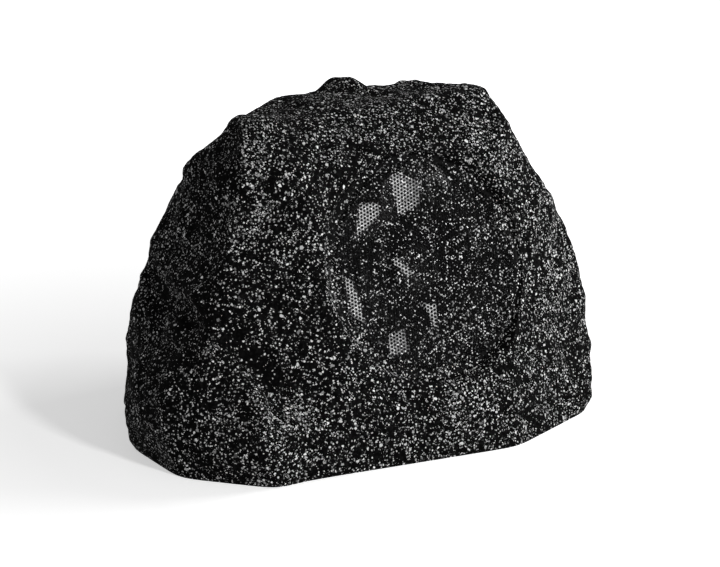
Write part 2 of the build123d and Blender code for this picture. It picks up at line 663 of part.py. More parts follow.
def gland_pieces():
    """Cable gland: body, seal, clamping nut and locknut."""
    collar_top = GLAND_FLANGE + GLAND_COLLAR
    body = hex_nut(GLAND_HEX, GLAND_BORE, 0, GLAND_FLANGE)
    body = body + ring(GLAND_THREAD_RADIUS, GLAND_BORE, -GLAND_TAIL, 0)
    body = body + ring(GLAND_THREAD_RADIUS, GLAND_SEAL_RADIUS, GLAND_FLANGE, collar_top)
    nut_bottom = GLAND_FLANGE + GLUE
    nut_top = nut_bottom + GLAND_NUT
    cap_top = nut_top + GLAND_NUT_CAP
    thread_bore = GLAND_THREAD_RADIUS + THREAD_CLEARANCE
    nut = hex_nut(GLAND_HEX, thread_bore, nut_bottom, nut_top)
    cap = turned((GLAND_MOUTH, nut_top), (GLAND_HEX * math.cos(math.radians(30)), nut_top),
                 (GLAND_MOUTH + GLAND_NUT_CAP, cap_top), (GLAND_MOUTH, cap_top))
    locknut = hex_nut(GLAND_HEX, thread_bore, -WALL - GLAND_LOCKNUT, -WALL)
    pieces = {
        "gland_body": body,
        "gland_seal": ring(GLAND_SEAL_RADIUS - THREAD_CLEARANCE, GLAND_CABLE_RADIUS, GLAND_FLANGE, nut_top),
        "gland_nut": nut + cap,
        "gland_locknut": locknut,
    }
    return {name: GLAND * piece for name, piece in pieces.items()}


def lead(points):
    """A round lead along straight runs joined by arcs."""
    path = FilletPolyline(*points, radius=LEAD_BEND)
    start = Plane(origin=path @ 0, z_dir=path % 0)
    return sweep(start * Circle(LEAD_RADIUS), path=path)


def lead_pieces():
    """Leads from the board's terminal block to the woofer's tags and up the tweeter's stem."""
    block_x = BOARD_X + BLOCK_PLACE[0]
    block_y = BOARD_Y + BLOCK_PLACE[1]
    quarter = BLOCK_SIZE[0] / 4
    front_y = block_y - BLOCK_SIZE[1] / 2 - LEAD_END_GAP
    front = Vector(block_x - quarter, front_y, BOARD_TOP + BLOCK_SIZE[2] / 2)
    top = Vector(block_x + quarter, block_y, BOARD_TOP + BLOCK_SIZE[2] + LEAD_END_GAP)
    tag_level = BASKET_BOTTOM + TAG_TAB + TAG / 2
    tag = DRIVER_PLANE.from_local_coords(Vector(0, -TAG_TAB_REACH - LEAD_END_GAP, tag_level))
    below_tag = DRIVER_PLANE.from_local_coords(Vector(0, -TAG_TAB_REACH - LEAD_RUN, tag_level))
    stem = DRIVER_PLANE.from_local_coords(Vector(0, 0, BACK_PLATE_BOTTOM - LEAD_END_GAP))
    behind_stem = DRIVER_PLANE.from_local_coords(Vector(0, 0, BACK_PLATE_BOTTOM - LEAD_RUN))
    return {
        "woofer_leads": lead([front, front + Vector(0, -LEAD_RUN, 0), below_tag, tag]),
        "tweeter_leads": lead([top, top + Vector(0, 0, LEAD_RUN), behind_stem, stem]),
    }


def all_pieces():
    """Every piece by name, in the rock's building frame."""
    pieces = {"rock_shell": rock_shell(), "grille": grille()}
    pieces.update(driver_pieces())
    pieces["base_plate"] = base_plate()
    pieces["base_gasket"] = base_gasket()
    base_screw = Rot(180, 0, 0) * screw(BASE_SCREW, -BASE_RECESS)
    pieces["base_screws"] = at_places(base_screw, BASE_SCREW_POINTS)
    pieces.update(crossover_pieces())
    pieces.update(gland_pieces())
    pieces.update(lead_pieces())
    return pieces


os.makedirs("parts", exist_ok=True)
speaker = all_pieces()
middle = Compound([solid for piece in speaker.values() for solid in piece.solids()]).bounding_box().center()
to_origin = Pos(-middle.X, -middle.Y, 0)
for name, piece in speaker.items():
    export_step(to_origin * piece, f"parts/{name}.step")
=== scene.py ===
import json
import math

import bmesh
import bpy
import numpy as np
from bpy.props import FloatProperty, FloatVectorProperty, IntProperty, PointerProperty
from mathutils import Matrix, Vector, kdtree
from mathutils.geometry import delaunay_2d_cdt


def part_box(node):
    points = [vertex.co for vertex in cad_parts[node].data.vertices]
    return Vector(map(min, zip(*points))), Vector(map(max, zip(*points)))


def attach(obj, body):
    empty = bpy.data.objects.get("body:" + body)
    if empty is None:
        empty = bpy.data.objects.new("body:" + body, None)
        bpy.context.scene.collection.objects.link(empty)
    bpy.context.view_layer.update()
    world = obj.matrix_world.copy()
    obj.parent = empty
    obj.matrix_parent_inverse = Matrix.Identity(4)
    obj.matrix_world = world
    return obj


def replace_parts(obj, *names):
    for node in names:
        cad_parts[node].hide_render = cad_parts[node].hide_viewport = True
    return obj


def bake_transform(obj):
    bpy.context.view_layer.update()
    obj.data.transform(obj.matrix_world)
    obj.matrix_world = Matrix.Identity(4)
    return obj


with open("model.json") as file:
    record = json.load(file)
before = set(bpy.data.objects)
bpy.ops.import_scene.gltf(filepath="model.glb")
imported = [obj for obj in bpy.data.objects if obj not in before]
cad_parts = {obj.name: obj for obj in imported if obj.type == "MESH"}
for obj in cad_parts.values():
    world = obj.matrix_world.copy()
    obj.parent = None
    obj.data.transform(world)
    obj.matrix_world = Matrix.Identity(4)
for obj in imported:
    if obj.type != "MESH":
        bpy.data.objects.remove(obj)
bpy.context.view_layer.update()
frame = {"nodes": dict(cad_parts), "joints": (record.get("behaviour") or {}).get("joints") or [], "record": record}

bl_info = {
    "name": "Rock garden speaker",
    "version": (1, 0, 0),
    "blender": (4, 5, 0),
    "location": "3D View > Sidebar > Rock Speaker",
    "description": "Dresses the rock speaker's solids with cast stone, a perforated grille and finishes",
    "category": "Object",
}

NODES = frame["nodes"]
MM = 0.001

# Sizes that the solids share, in metres
RECESS_SEAT = 87 * MM
RECESS_TOP = 20 * MM
RECESS_BEVEL = 4 * MM
GRILLE_LEVEL = 12 * MM
GLAND_HOLE = 8.1 * MM
GRILLE_EDGE_RADIUS = 86 * MM

# The grille's flange, and the stamped form that its sheet is pressed into
GRILLE_FOLD_RADIUS = 78 * MM
FLANGE_RISE = 0.9 * MM
FORM_RADIUS = GRILLE_EDGE_RADIUS * 1.05
FORM_SIDES = 48

# The blank edge round the field of holes, and the hem that closes it
BLANK_MARGIN = 3.2 * MM
CELL_JOIN = 0.02 * MM
HEM_MARGIN = 1.0 * MM
HEM_SKIN = 0.02 * MM
HEM_ROUND = 0.3
HEM_SIDES = 120

# Start below the grille and length of the rays that find its stamped form
RAY_START = -50 * MM
RAY_LENGTH = 200 * MM

# How the stone's facets are found: points that are one, faces that are one facet, and points on the ground
POINT_JOIN = 0.002 * MM
FLAT_COSINE = 0.9993
GROUND_LEVEL = 0.01 * MM

# How a facet is filled, in surface steps: room between its points and outline, and the least triangle
EDGE_CLEARANCE = 0.62
SLIVER = 1e-3

# Number of points worked on at once, the join of flat points, and the least value that is divided by
CHUNK = 2000
FLAT_JOIN = 1e-7
NOT_ZERO = 1e-12

# How many times longer the rim on the ground is worn than the other edges
RIM_WEAR = 5

# Where the relief fades out by the ground, the recess and the gland, and how softly it stops at its depth
GROUND_FADE = 10 * MM
RECESS_FADE = 9 * MM
RECESS_HELD = 2.5 * MM
DEPTH_SOFTNESS = 1 * MM

# Turns of the surface that are shaded as sharp edges
STONE_CREASE = math.radians(50)
GRILLE_CREASE = math.radians(40)

# Noises of the finishes in waves a metre, and the span that most of their values are in
CROWD_WIDE = 22.0
CROWD_NEAR = 75.0
SOOT = 420.0
TOOTH = 900.0
CLOUD = 40.0
NOISE_SPAN = (0.3, 0.7)

# The least roughness of a plain finish
LEAST_ROUGH = 0.05

# How the noises make the fleck spray thick or thin
CROWD_WIDE_SHARE = 0.7
CROWD_NEAR_SHARE = 0.9
CROWD_LEVEL = -0.30
CROWD_LEAST = 0.08

# Layers of flecks: size of a cell, share of cells with a fleck, reach of a fleck in its cell, and seed
FLECK_LAYERS = (
    (1.05 * MM, 0.27, 0.70, 3.0),
    (1.5 * MM, 0.25, 0.68, 7.0),
    (2.4 * MM, 0.12, 0.64, 11.0),
)
FLECK_SHIFT = (0.37, 0.61, 0.23)

# How ragged a fleck is, how sharp its edge, how high it lies and how its tints are spread
RAGGED_SCALE = 1.1
RAGGED_PUSH = 0.9
FLECK_EDGE = 0.07
FLECK_RISE = 0.35
TINT_POWER = 1.1

# The faint soot between the flecks, the depth of the spray's relief and the spread of its roughness
SOOT_SPAN = (0.45, 0.8)
SOOT_SHARE = 0.008
SPRAY_DEPTH = 0.4 * MM
SPRAY_ROUGH_SPREAD = 0.06

# The floor: half its side, where it begins to turn white and is white, its shine by the speaker, its mottle
FLOOR_HALF = 6.0
FLOOR_FADE = (0.25, 0.9)
FLOOR_SHINE = 0.5
FLOOR_MOTTLE = 3.0
FLOOR_PALE = (0.9, 0.9, 0.9, 1)

# The light from all sides, and the width of the camera's sensor in millimetres
WHITE = (1, 1, 1, 1)
WORLD_LIGHT = 0.20
SENSOR_WIDTH = 36

# Lights: bearing from the front and height over the horizon in degrees, distance and size in metres
FRONT_LIGHT = (0, 20, 1.5, 0.16)
RIGHT_LIGHT = (78, 24, 1.5, 0.7)

# Stamped plates of the grille: right, up and height over the rim of each corner, in millimetres
STAMP_PLATES = (
    ((-19, 71, 2.2), (-17, 39, 1.0), (-10, 42, 3.2), (-9.5, 74, 5.1)),
    ((-9.5, 74, 5.1), (-10, 42, 3.2), (3, 45, 6.9), (9, 64, 9.5)),
    ((-48, 56, 5.1), (-58, 28, 1.0), (-33, 43, 8.5), (-33, 54, 9.0)),
    ((-73, 1, 1.4), (-70, -29, 1.9), (-63, -36, 3.7), (-66, -1, 3.2)),
    ((-11, -25, 0.9), (-6.5, -42, 2.3), (-3, -56, 3.4), (3, -29, 5.1)),
    ((-46, -44, 1.3), (-42, -63, 2.5), (-29, -61, 5.7), (-30, -42, 5.3)),
    ((-33, 10, 3.4), (-21, -8, 6.5), (-14.5, -4, 8.4), (-25, 11, 5.7)),
)
# Other stamped corners, between the plates
STAMP_CORNERS = (
    (-54, 22, 1.0), (-25, 36, 1.5), (13, 40, 5.5), (17, 64, 5.5), (36, 54, 3.5), (58, 36, 1.6),
    (38, 24, 5.5), (66, 0, 2.0), (12, 14, 4.0), (-12, 20, 6.0), (-44, 12, 6.0), (-44, -16, 6.5),
    (34, -10, 3.5), (9, -33, 3.0), (7, -56, 2.5), (-17, -44, 4.0), (-16, -66, 3.0), (30, -44, 5.0),
    (54, -34, 2.0), (30, -64, 2.0), (-56, -46, 3.0), (-68, 22, 0.8), (-61, 46, 2.8),
)

# Painted light on the stone: where the fleck spray lies thicker as painted highlight on lit ridges and faces, or
# thinner as painted shade in the crease; place and radius in millimetres, and how much
PAINTED_LIGHT_SPRAY_PATCHES = (
    ((-106, -47, 226), 22, 0.75), ((-110, -58, 194), 18, 0.60), ((-128, -56, 169), 18, 0.35),
    ((-114, -115, 49), 26, 0.70), ((-138, -121, 42), 20, 0.50), ((124, -95, 82), 26, 0.30),
    ((144, -80, 100), 22, 0.25), ((82, -55, 223), 26, 0.45), ((97, -67, 200), 22, 0.50),
    ((-153, 12, 112), 18, -0.40), ((-159, -28, 101), 20, -0.40), ((-155, -50, 117), 20, -0.40),
    ((-147, -74, 104), 16, -0.50), ((-133, -82, 88), 17, -0.55), ((-123, -93, 72), 16, -0.35),
    ((-126, -105, 56), 12, -0.20), ((-151, -23, 138), 24, -0.30), ((-123, -34, 209), 16, -0.25),
)

# Forms worked into the stone: two ends of a stroke, its radius and its height, in millimetres
STONE_FORMS = (
    ((9, 29, 249), (17, 25, 249), 11, 9.0),
    ((62, 22, 247), (82, 4, 247), 14, -5.5),
    ((-14, 27, 250), (-4, 27, 250), 9, -3.0),
    ((-75, 12, 249), (-50, 18, 250), 13, -5.0),
    ((-113, 2, 238), (-114, -14, 233), 12, -7.5),
    ((-128, 35, 193), (-137, 36, 173), 10, -5.0),
    ((-153, 42, 132), (-156, 36, 125), 10, -5.0),
    ((-171, 42, 80), (-168, 48, 63), 12, -4.0),
    ((-121, 24, 210), (-125, 29, 204), 10, 2.5),
    ((-142, 38, 160), (-146, 44, 145), 12, 2.0),
    ((159, -62, 144), (165, -63, 132), 12, -2.5),
    ((119, -57, 212), (127, -58, 199), 12, -3.0),
    ((-158, 32, 120), (-159, -36, 110), 9, -6.5),
    ((-159, -36, 110), (-136, -83, 92), 9, -7.5),
    ((-136, -83, 92), (-125, -97, 67), 8, -7.5),
    ((-125, -97, 67), (-135, -118, 49), 6, -3.0),
    ((-157, 0, 130), (-155, -40, 127), 12, 4.0),
    ((-155, -40, 127), (-130, -84, 110), 12, 5.0),
    ((-161, -23, 99), (-155, -74, 90), 12, 3.5),
    ((-146, -87, 76), (-142, -100, 64), 10, 4.0),
    ((-49, -49, 228), (-98, -64, 191), 5, -2.5),
    ((-78, -120, 66), (-33, -125, 51), 6, -2.0),
    ((-33, -125, 51), (11, -127, 48), 6, -2.0),
    ((11, -127, 48), (43, -123, 57), 6, -1.5),
)

# Plain finishes: colour, roughness, size and depth of the texture, gloss and metal
FINISHES = {
    "foam": ((0.012, 0.012, 0.012), 0.95, 0.6 * MM, 0.20 * MM, 0.1, 0.0),
    "rubber_roll": ((0.010, 0.010, 0.010), 0.60, 1.5 * MM, 0.03 * MM, 0.2, 0.0),
    "basket_paint": ((0.008, 0.008, 0.009), 0.60, 1.0 * MM, 0.04 * MM, 0.12, 0.0),
    "cone_pulp": ((0.011, 0.011, 0.012), 0.85, 0.8 * MM, 0.15 * MM, 0.12, 0.0),
    "spider_cloth": ((0.50, 0.32, 0.08), 0.80, 0.5 * MM, 0.15 * MM, 0.2, 0.0),
    "former_foil": ((0.75, 0.76, 0.77), 0.30, 3.0 * MM, 0.02 * MM, 0.5, 1.0),
    "copper_wire": ((0.62, 0.24, 0.10), 0.30, 0.7 * MM, 0.10 * MM, 0.5, 1.0),
    "zinc_steel": ((0.55, 0.56, 0.58), 0.35, 2.0 * MM, 0.02 * MM, 0.5, 1.0),
    "ferrite": ((0.025, 0.025, 0.026), 0.60, 1.2 * MM, 0.05 * MM, 0.5, 0.0),
    "black_plastic": ((0.014, 0.014, 0.015), 0.50, 0.9 * MM, 0.06 * MM, 0.45, 0.0),
    "dome_silk": ((0.025, 0.025, 0.025), 0.75, 0.3 * MM, 0.05 * MM, 0.3, 0.0),
    "black_screw": ((0.012, 0.012, 0.012), 0.40, 0.6 * MM, 0.02 * MM, 0.5, 0.0),
    "tag_board": ((0.14, 0.06, 0.02), 0.60, 0.6 * MM, 0.05 * MM, 0.4, 0.0),
    "nylon": ((0.62, 0.60, 0.54), 0.50, 1.0 * MM, 0.03 * MM, 0.4, 0.0),
    "circuit_board": ((0.006, 0.065, 0.018), 0.35, 1.5 * MM, 0.02 * MM, 0.5, 0.0),
    "block_plastic": ((0.008, 0.075, 0.025), 0.45, 1.0 * MM, 0.03 * MM, 0.4, 0.0),
    "capacitor_sleeve": ((0.006, 0.012, 0.075), 0.22, 3.0 * MM, 0.02 * MM, 0.5, 0.0),
    "white_ceramic": ((0.70, 0.68, 0.62), 0.75, 0.8 * MM, 0.10 * MM, 0.3, 0.0),
    "lead_sleeve": ((0.17, 0.006, 0.005), 0.50, 1.0 * MM, 0.02 * MM, 0.4, 0.0),
}


class StoneSettings(bpy.types.PropertyGroup):
    """Sizes and colours of the cast stone."""
    step: FloatProperty(name="Surface step", description="Spacing of the points over the stone",
                        default=1.75 * MM, precision=4, unit="LENGTH")
    wear: IntProperty(name="Edge wear", description="How far the edges between facets are worn round",
                      default=12, min=0)
    swell: FloatProperty(name="Swell", description="Height of the wide, slow relief",
                         default=5.0 * MM, precision=4, unit="LENGTH")
    swell_size: FloatProperty(name="Swell size", description="Width of the slow relief",
                              default=58 * MM, precision=4, unit="LENGTH")
    lump: FloatProperty(name="Lump", description="Height of the hand-sized lumps",
                        default=4.5 * MM, precision=4, unit="LENGTH")
    lump_size: FloatProperty(name="Lump size", description="Width of the lumps",
                             default=21 * MM, precision=4, unit="LENGTH")
    grain: FloatProperty(name="Grain", description="Height of the fine cast grain",
                         default=0.9 * MM, precision=5, unit="LENGTH")
    grain_size: FloatProperty(name="Grain size", description="Width of the fine grain",
                              default=6 * MM, precision=4, unit="LENGTH")
    depth: FloatProperty(name="Depth", description="How far the relief may sink into the wall",
                         default=4.0 * MM, precision=4, unit="LENGTH")
    seed: FloatProperty(name="Relief seed", description="Which relief is drawn", default=4.0)
    ground: FloatVectorProperty(name="Ground", description="Colour between the flecks", subtype="COLOR",
                                size=4, default=(0.0015, 0.0015, 0.0015, 1), min=0, max=1)
    pale: FloatVectorProperty(name="Pale fleck", description="Colour of the palest flecks", subtype="COLOR",
                              size=4, default=(0.84, 0.84, 0.84, 1), min=0, max=1)
    dull: FloatVectorProperty(name="Dull fleck", description="Colour of the dullest flecks", subtype="COLOR",
                              size=4, default=(0.025, 0.025, 0.025, 1), min=0, max=1)


class GrilleSettings(bpy.types.PropertyGroup):
    """Sizes of the stamped grille."""
    pitch: FloatProperty(name="Hole pitch", description="Distance between neighbouring holes",
                         default=2.68 * MM, precision=5, unit="LENGTH")
    turn: FloatProperty(name="Lattice turn", description="How far the rows of holes are turned in the disc",
                        default=math.radians(-6.4), unit="ROTATION")
    hole: FloatProperty(name="Hole", description="Diameter of one hole",
                        default=1.95 * MM, precision=5, unit="LENGTH")
    sheet: FloatProperty(name="Sheet", description="Thickness of the sheet",
                         default=1.0 * MM, precision=4, unit="LENGTH")
    bend: IntProperty(name="Bend", description="How far the stamped folds are rounded", default=4, min=0)
    holed: FloatProperty(name="Holed field", description="Radius of the field of holes",
                         default=79.5 * MM, precision=4, unit="LENGTH")


class StageSettings(bpy.types.PropertyGroup):
    """Floor, light and camera."""
    floor: FloatVectorProperty(name="Floor", description="Colour of the floor", subtype="COLOR",
                               size=4, default=(0.86, 0.86, 0.86, 1), min=0, max=1)
    turn: FloatProperty(name="Camera turn", description="Bearing of the camera from the front",
                        default=math.radians(-33), unit="ROTATION")
    lift: FloatProperty(name="Camera lift", description="Height of the camera over the horizon",
                        default=math.radians(17), unit="ROTATION")
    away: FloatProperty(name="Camera distance", description="Distance of the camera from what it looks at",
                        default=2.4, unit="LENGTH")
    aim: FloatVectorProperty(name="Aim", description="Point in the middle of the picture", subtype="XYZ",
                             size=3, default=(-10.6 * MM, -35.8 * MM, 112 * MM), unit="LENGTH")
    width: FloatProperty(name="View width", description="Width of the view at the aim",
                         default=547.2 * MM, precision=4, unit="LENGTH")
    key: FloatProperty(name="Key light", description="Power of the light in front", default=13.5)
    side: FloatProperty(name="Side light", description="Power of the soft light on the right", default=14.5)


def points_of(mesh):
    """The mesh's points as rows."""
    flat = np.empty(len(mesh.vertices) * 3, np.float32)
    mesh.vertices.foreach_get("co", flat)
    return flat.reshape(-1, 3).astype(float)


def driver_frame():
    """Matrix of the driver's frame: Z out of the rock, zero at the floor of the driver's well."""
    out = Vector(frame["joints"][0]["axis"]).normalized()
    right = Vector((1, 0, 0))
    turn = Matrix((right, out.cross(right), out)).transposed()
    ring = points_of(NODES["driver_gasket"].data) @ np.array(turn)
    low, high = ring.min(0), ring.max(0)
    middle = turn @ Vector(((low[0] + high[0]) / 2, (low[1] + high[1]) / 2, low[2]))
    return Matrix.Translation(middle) @ turn.to_4x4()


DRIVER = driver_frame()
GLAND_MIDDLE = sum(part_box("gland_seal"), Vector()) / 2


def add(tree, kind, inputs=None, **settings):
    """A new node with its settings, and its inputs linked or set."""
    node = tree.nodes.new(kind)
    for name, value in settings.items():
        setattr(node, name, value)
    for key, value in (inputs or {}).items():
        if isinstance(value, bpy.types.NodeSocket):
            tree.links.new(value, node.inputs[key])
        else:
            node.inputs[key].default_value = value
    return node


def maths(tree, operation, *values):
    """The output of one math node."""
    return add(tree, "ShaderNodeMath", dict(enumerate(values)), operation=operation).outputs[0]


def noise(tree, place, scale, detail=2.0):
    """The value of a noise texture."""
    return add(tree, "ShaderNodeTexNoise", {"Vector": place, "Scale": scale, "Detail": detail}).outputs[0]


def ranged(tree, value, start, end, low, high, **settings):
    """A value taken from the range of start and end to that of low and high."""
    inputs = {"Value": value, "From Min": start, "From Max": end, "To Min": low, "To Max": high}
    return add(tree, "ShaderNodeMapRange", inputs, **settings).outputs[0]


def mixed(tree, share, first, second):
    """The mix of two colours."""
    return add(tree, "ShaderNodeMix", {0: share, 6: first, 7: second}, data_type="RGBA").outputs[2]


def eased(share):
    """A share from zero to one that starts and ends gently."""
    return share * share * (3 - 2 * share)


def node_group(name, inputs):
    """A new Geometry Nodes tree with named inputs, and its input and output nodes."""
    tree = bpy.data.node_groups.new(name, "GeometryNodeTree")
    tree.is_modifier = True
    tree.interface.new_socket("Geometry", in_out="INPUT", socket_type="NodeSocketGeometry")
    tree.interface.new_socket("Geometry", in_out="OUTPUT", socket_type="NodeSocketGeometry")
    for label, kind in inputs.items():
        tree.interface.new_socket(label, in_out="INPUT", socket_type="NodeSocket" + kind)
    return tree, tree.nodes.new("NodeGroupInput"), tree.nodes.new("NodeGroupOutput")


def grow(obj, tree, values):
    """Runs a Geometry Nodes tree on an object and puts the plain mesh that it makes in its place."""
    modifier = obj.modifiers.new(tree.name, "NODES")
    modifier.node_group = tree
    for item in tree.interface.items_tree:
        if item.item_type == "SOCKET" and item.in_out == "INPUT" and item.name in values:
            modifier[item.identifier] = values[item.name]
    depsgraph = bpy.context.evaluated_depsgraph_get()
    mesh = bpy.data.meshes.new_from_object(obj.evaluated_get(depsgraph))
    obj.modifiers.remove(modifier)
    obj.data = mesh
    return obj


def new_object(name, points, faces):
    """A mesh object at the origin."""
    mesh = bpy.data.meshes.new(name)
    mesh.from_pydata([tuple(point) for point in points], [], faces)
    mesh.update()
    obj = bpy.data.objects.new(name, mesh)
    bpy.context.scene.collection.objects.link(obj)
    return obj


def drop(obj):
    """Takes a helper object out of the scene."""
    bpy.data.objects.remove(obj)


# Materials


def new_material(name):
    """An empty node material with its shader and the place on the piece."""
    material = bpy.data.materials.new(name)
    material.use_nodes = True
    tree = material.node_tree
    shader = tree.nodes["Principled BSDF"]
    place = add(tree, "ShaderNodeTexCoord").outputs["Object"]
    return material, tree, shader, place


def set_finish(tree, shader, colour, rough, relief, gloss):
    """Links a finish's colour, roughness and relief to its shader."""
    tree.links.new(colour, shader.inputs["Base Color"])
    tree.links.new(rough, shader.inputs["Roughness"])
    tree.links.new(relief, shader.inputs["Normal"])
    shader.inputs["Specular IOR Level"].default_value = gloss


def spray_crowd_and_painted_light(tree, place, painted_light_patches):
    """How thickly the flecks lie, by two noises, and thicker or thinner in given places as painted highlight and
    painted shade.
    """
    near = maths(tree, "MULTIPLY_ADD", noise(tree, place, CROWD_NEAR, 1.0), CROWD_NEAR_SHARE, CROWD_LEVEL)
    crowd = maths(tree, "MULTIPLY_ADD", noise(tree, place, CROWD_WIDE), CROWD_WIDE_SHARE, near)
    # Each given place crowds the flecks as a painted highlight, or thins them as painted shade
    for spot, radius, amount in painted_light_patches:
        middle = [value * MM for value in spot]
        away = add(tree, "ShaderNodeVectorMath", {0: place, 1: middle}, operation="DISTANCE")
        extra = ranged(tree, away.outputs["Value"], 0.0, radius * MM, amount, 0.0,
                       interpolation_type="SMOOTHSTEP")
        crowd = maths(tree, "ADD", crowd, extra)
    return maths(tree, "MAXIMUM", crowd, CROWD_LEAST)


def fleck_layer(tree, place, crowd, size, share, reach, seed):
    """Mask and brightness of one layer of flecks."""
    shift = [seed * value for value in FLECK_SHIFT]
    shifted = add(tree, "ShaderNodeVectorMath", {0: place, 1: shift}, operation="ADD").outputs[0]
    ragged = add(tree, "ShaderNodeTexNoise", {"Vector": shifted, "Scale": RAGGED_SCALE / size, "Detail": 1.0})
    push = (size * RAGGED_PUSH,) * 3
    pushed = add(tree, "ShaderNodeVectorMath", {0: ragged.outputs["Color"], 1: push, 2: shifted},
                 operation="MULTIPLY_ADD")
    cells = add(tree, "ShaderNodeTexVoronoi", {"Vector": pushed.outputs[0], "Scale": 1 / size})
    chance = add(tree, "ShaderNodeSeparateColor", {0: cells.outputs["Color"]})
    absent = maths(tree, "MULTIPLY_ADD", crowd, -2 * share, 1.0)
    radius = ranged(tree, chance.outputs[0], absent, 1.0, 0.0, reach)
    within = maths(tree, "SUBTRACT", radius, cells.outputs["Distance"])
    return ranged(tree, within, 0.0, FLECK_EDGE, 0.0, 1.0), chance.outputs[1]


def granite(name, settings, roughness, gloss, bump, tone=1.0, painted_light_patches=()):
    """Black ground with pale and dull flecks of several sizes, crowded at random, and crowded or thinned in given
    places as painted highlight and painted shade.
    """
    material, tree, shader, place = new_material(name)
    crowd = spray_crowd_and_painted_light(tree, place, painted_light_patches)
    soot = ranged(tree, noise(tree, place, SOOT), *SOOT_SPAN, 0.0, SOOT_SHARE)
    colour = mixed(tree, soot, settings.ground, settings.pale)
    height = noise(tree, place, TOOTH)
    rough = ranged(tree, height, *NOISE_SPAN, roughness - SPRAY_ROUGH_SPREAD, roughness + SPRAY_ROUGH_SPREAD)
    for size, share, reach, seed in FLECK_LAYERS:
        mask, chance = fleck_layer(tree, place, crowd, size, share, reach, seed)
        tint = maths(tree, "MULTIPLY", maths(tree, "POWER", chance, TINT_POWER), tone)
        colour = mixed(tree, mask, colour, mixed(tree, tint, settings.dull, settings.pale))
        height = maths(tree, "MULTIPLY_ADD", mask, FLECK_RISE, height)
    relief = add(tree, "ShaderNodeBump", {"Strength": bump, "Distance": SPRAY_DEPTH, "Height": height})
    set_finish(tree, shader, colour, rough, relief.outputs[0], gloss)
    return material


def moulded(name, colour, roughness, size, depth, gloss, metal, vary=0.25, spread=0.1, bump=0.4):
    """A plain finish with a fine texture, a little variation of tone and worn gloss."""
    material, tree, shader, place = new_material(name)
    grain = noise(tree, place, 1 / size, 3.0)
    dark = tuple(c * (1 - vary) for c in colour) + (1,)
    pale = tuple(min(1.0, c * (1 + vary)) for c in colour) + (1,)
    tone = mixed(tree, noise(tree, place, CLOUD, 3.0), dark, pale)
    smooth, dry = max(LEAST_ROUGH, roughness - spread), min(1.0, roughness + spread)
    rough = ranged(tree, grain, *NOISE_SPAN, smooth, dry)
    relief = add(tree, "ShaderNodeBump", {"Strength": bump, "Distance": depth, "Height": grain})
    set_finish(tree, shader, tone, rough, relief.outputs[0], gloss)
    shader.inputs["Metallic"].default_value = metal
    return material


# The stone


def all_near(values, target, allowed=0.12 * MM):
    """Whether every value is at the target."""
    return np.all(np.abs(np.asarray(values) - target) < allowed)


def is_edge_face(face):
    """Whether a face of the shell belongs to the ground rim, the recess's edge or the gland's hole."""
    corners = [vert.co for vert in face.verts]
    local = [DRIVER.inverted() @ point for point in corners]
    recess = [math.hypot(p.x, p.y) for p in local]
    bevel = [radius - p.z for radius, p in zip(recess, local)]
    hole = [math.hypot(p.x - GLAND_MIDDLE.x, p.z - GLAND_MIDDLE.z) for p in corners]
    return (all_near([p.z for p in corners], 0.0)
            or all_near(recess, RECESS_SEAT)
            or all_near(bevel, RECESS_SEAT - RECESS_TOP + RECESS_BEVEL)
            or all_near(hole, GLAND_HOLE))


def flood(start, allowed):
    """The faces that join up with the first one, over edges that the test allows."""
    found = {start}
    waiting = [start]
    while waiting:
        face = waiting.pop()
        for edge in face.edges:
            for other in edge.link_faces:
                if other not in found and allowed(face, other):
                    found.add(other)
                    waiting.append(other)
    return found


def inside(points, starts, ends):
    """Which points are inside the outline, by the even and odd rule."""
    result = np.zeros(len(points), bool)
    for first in range(0, len(points), CHUNK):
        x, y = points[first:first + CHUNK, :1], points[first:first + CHUNK, 1:]
        spans = (starts[:, 1] > y) != (ends[:, 1] > y)
        drop_y = np.where(starts[:, 1] == ends[:, 1], 1.0, ends[:, 1] - starts[:, 1])
        at = starts[:, 0] + (ends[:, 0] - starts[:, 0]) * (y - starts[:, 1]) / drop_y
        result[first:first + CHUNK] = (spans & (x < at)).sum(1) % 2 == 1
    return result


def clear_of(points, starts, ends):
    """Each point's distance from the outline."""
    result = np.zeros(len(points))
    run = ends - starts
    length = np.maximum((run ** 2).sum(1), NOT_ZERO)
    for first in range(0, len(points), CHUNK):
        part = points[first:first + CHUNK, None, :] - starts
        along = np.clip((part * run).sum(2) / length, 0, 1)
        result[first:first + CHUNK] = np.sqrt(((part - along[..., None] * run) ** 2).sum(2).min(1))
    return result


